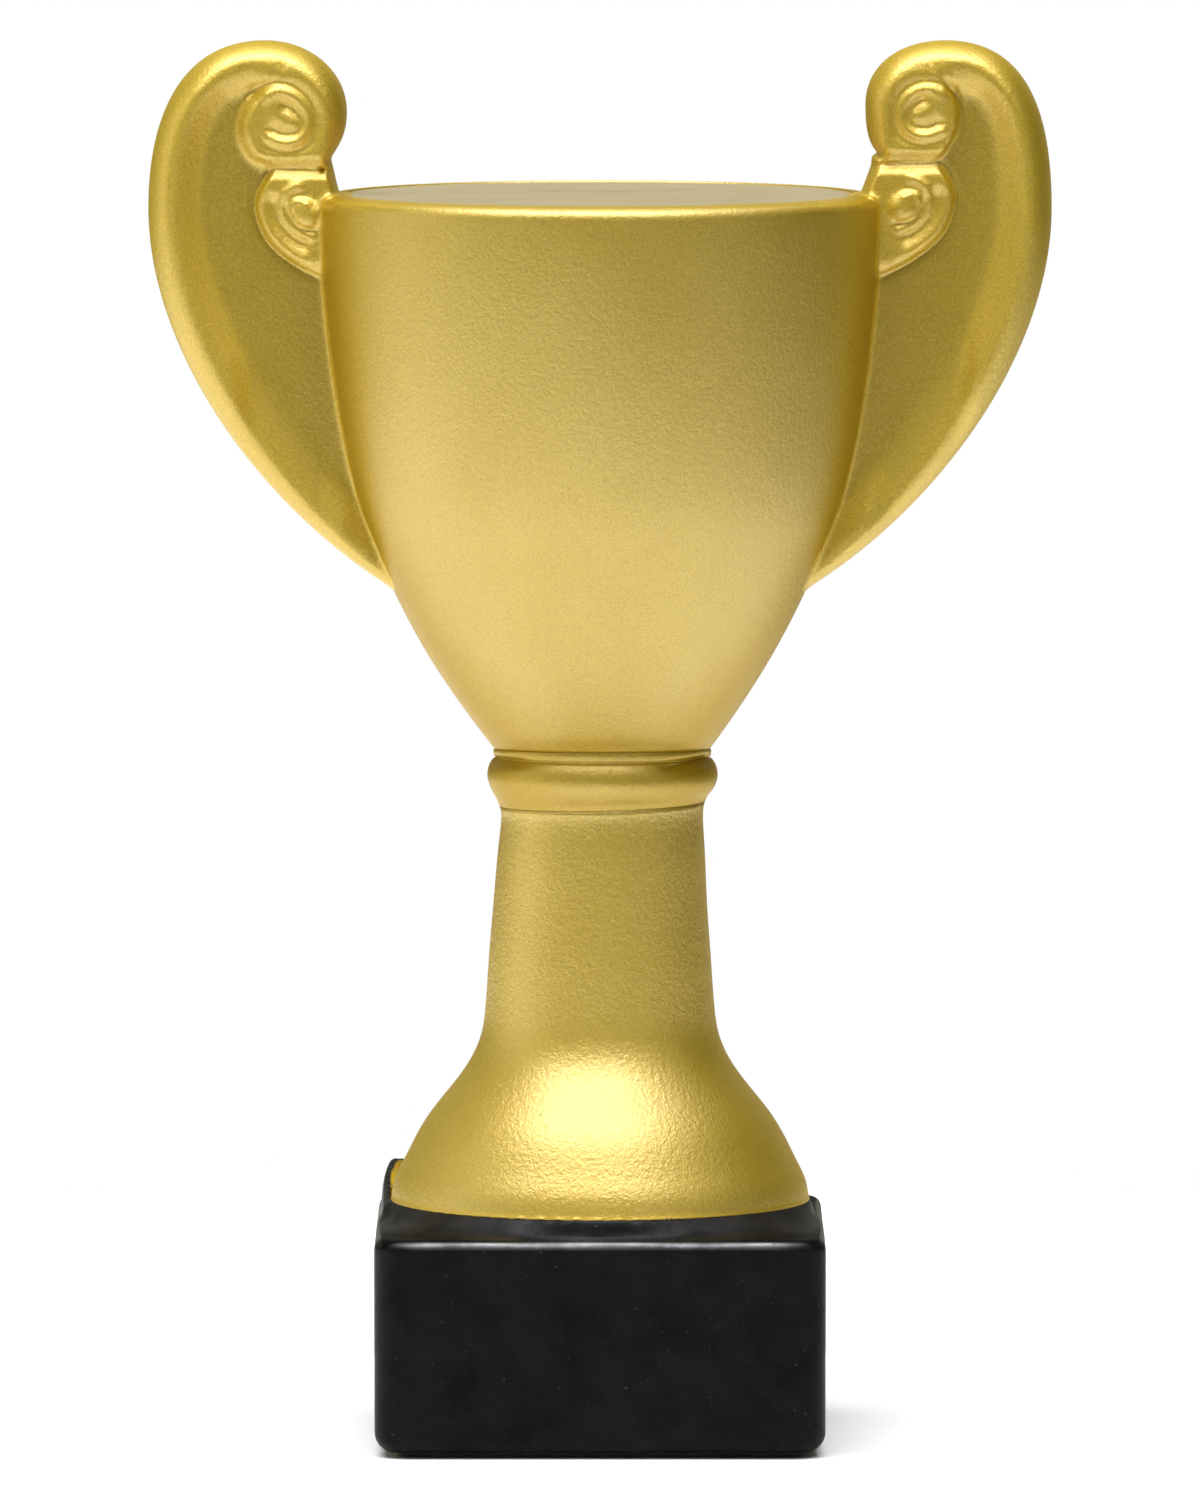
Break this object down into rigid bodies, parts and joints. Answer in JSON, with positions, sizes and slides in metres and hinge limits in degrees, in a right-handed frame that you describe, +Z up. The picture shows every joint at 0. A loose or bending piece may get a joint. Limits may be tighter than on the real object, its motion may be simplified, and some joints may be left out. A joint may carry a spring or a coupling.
{
  "type": "cup trophy",
  "caption": "Gold two-handled award cup with a closed flat mouth, scroll handles, a collared pedestal and a square black plinth.",
  "frame": {"origin": "centre of the underside, on the surface that the trophy stands on", "axes": "+Z up through the cup, -Y the front that the scrolls and the plaque face look to, +X the viewer's right, from one handle to the other"},
  "size_m": [0.0774, 0.0484, 0.12],
  "materials": {
    "gold_lacquer": "satin metallic gold lacquer with fine orange peel, over a yellow moulding",
    "gold_disc": "the same gold lacquer, thinner and paler, on a flat disc",
    "plinth_black": "satin black lacquer with fine scuffs and dust",
    "plaster": "cast plaster, matt, with small pores",
    "board": "pressed fibreboard, matt",
    "felt": "dark green pressed felt",
    "zinc_steel": "bright zinc-plated steel"
  },
  "bodies": {
    "root": {"felt_pad": "felt", "base_plate": "board", "plinth": "plinth_black", "ballast_block": "plaster", "pedestal": "gold_lacquer", "collar_ring": "gold_lacquer", "cup_bowl": "gold_lacquer", "mouth_disc": "gold_disc", "handle_left": "gold_lacquer", "handle_right": "gold_lacquer", "tie_rod": "zinc_steel", "base_washer": "zinc_steel", "base_nut": "zinc_steel", "cup_washer": "zinc_steel", "cup_nut": "zinc_steel", "handle_screw_left_upper": "zinc_steel", "handle_screw_left_lower": "zinc_steel", "handle_screw_right_upper": "zinc_steel", "handle_screw_right_lower": "zinc_steel"}
  },
  "joints": []
}
